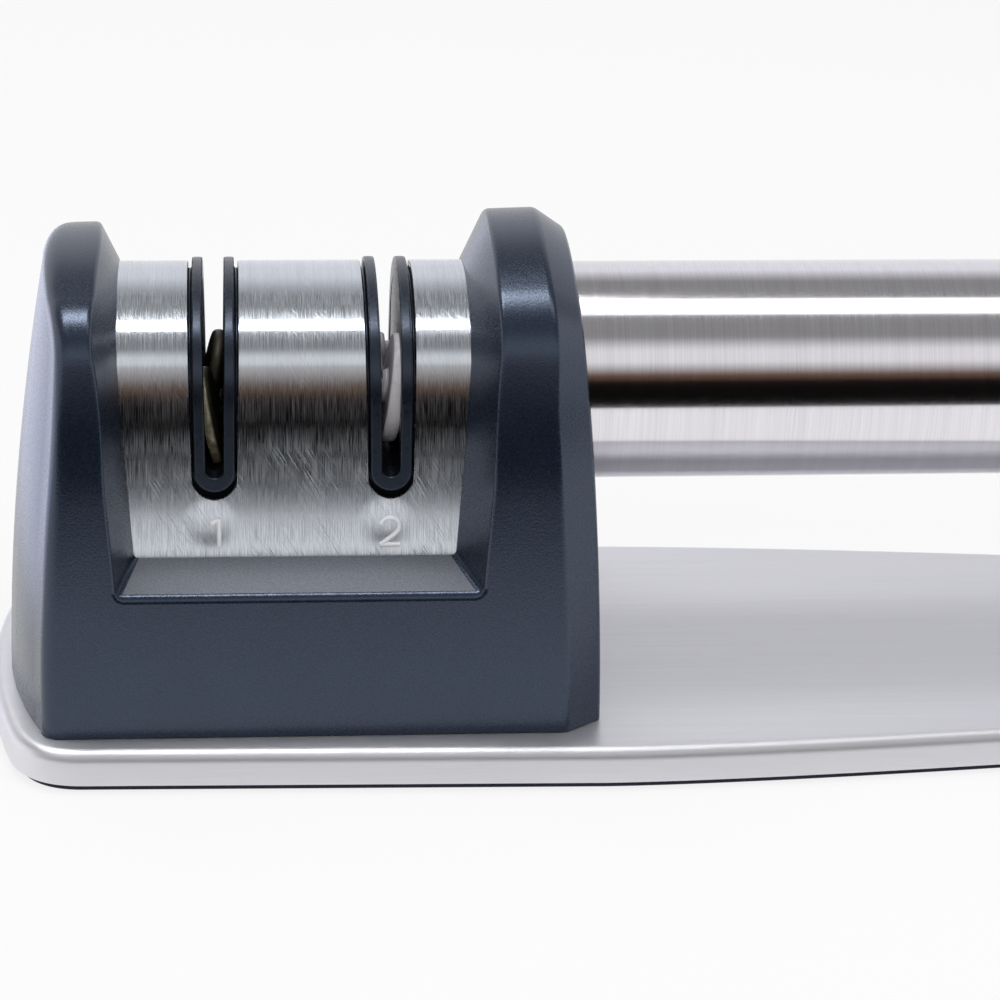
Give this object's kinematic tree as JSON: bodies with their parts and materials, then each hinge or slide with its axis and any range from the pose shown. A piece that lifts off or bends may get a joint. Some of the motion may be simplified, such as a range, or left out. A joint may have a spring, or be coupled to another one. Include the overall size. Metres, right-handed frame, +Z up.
{
  "type": "knife sharpener",
  "caption": "Pull-through knife sharpener: arched black head with a slotted steel cover over tilted spinning discs, a round tube handle and a flat steel base with a non-slip pad.",
  "frame": {"origin": "middle of the overall length and width, on the underside of the non-slip pad", "axes": "+X from the head to the free end of the handle, -Y the front with the stage numerals, +Z up"},
  "size_m": [0.2, 0.0646, 0.0649],
  "materials": {
    "black_abs": "satin moulded, fine spark texture",
    "inner_abs": "plain moulded",
    "brushed_steel": "brushed stainless",
    "plain_steel": "plated",
    "dark_abrasive": "dark abrasive-coated steel",
    "white_ceramic": "matt white",
    "navy_rubber": "matt non-slip"
  },
  "bodies": {
    "sharpener_frame": {"base_pad": "navy_rubber", "base_core": "inner_abs", "base_plate": "brushed_steel", "head_housing": "black_abs", "inner_chassis": "inner_abs", "steel_cover": "brushed_steel", "slot_guide_coarse": "black_abs", "slot_guide_fine": "black_abs", "coarse_pin_front": "plain_steel", "coarse_pin_rear": "plain_steel", "fine_pin_front": "plain_steel", "fine_pin_rear": "plain_steel", "handle_tube": "brushed_steel", "handle_plug": "inner_abs", "handle_bolt": "plain_steel", "bolt_washer": "plain_steel", "handle_end_cap": "black_abs", "housing_screw_1": "plain_steel", "housing_screw_2": "plain_steel", "housing_screw_3": "plain_steel", "housing_screw_4": "plain_steel", "chassis_screw_1": "plain_steel", "chassis_screw_2": "plain_steel"},
    "coarse_front_wheel": {"coarse_disc_front": "dark_abrasive"},
    "coarse_rear_wheel": {"coarse_disc_rear": "dark_abrasive"},
    "fine_front_wheel": {"fine_disc_front": "white_ceramic"},
    "fine_rear_wheel": {"fine_disc_rear": "white_ceramic"}
  },
  "joints": [
    {"name": "coarse_front_spin", "type": "hinge", "parent": "sharpener_frame", "child": "coarse_front_wheel", "pos_m": [-0.07085, -0.00675, 0.0408], "axis": [0.9781, 0, 0.2079], "continuous": true},
    {"name": "coarse_rear_spin", "type": "hinge", "parent": "sharpener_frame", "child": "coarse_rear_wheel", "pos_m": [-0.07105, 0.00675, 0.0408], "axis": [0.9781, 0, -0.2079], "continuous": true},
    {"name": "fine_front_spin", "type": "hinge", "parent": "sharpener_frame", "child": "fine_front_wheel", "pos_m": [-0.04795, -0.00675, 0.0447], "axis": [0.9903, 0, -0.1392], "continuous": true},
    {"name": "fine_rear_spin", "type": "hinge", "parent": "sharpener_frame", "child": "fine_rear_wheel", "pos_m": [-0.04985, 0.00675, 0.0447], "axis": [0.9903, 0, 0.1392], "continuous": true}
  ]
}
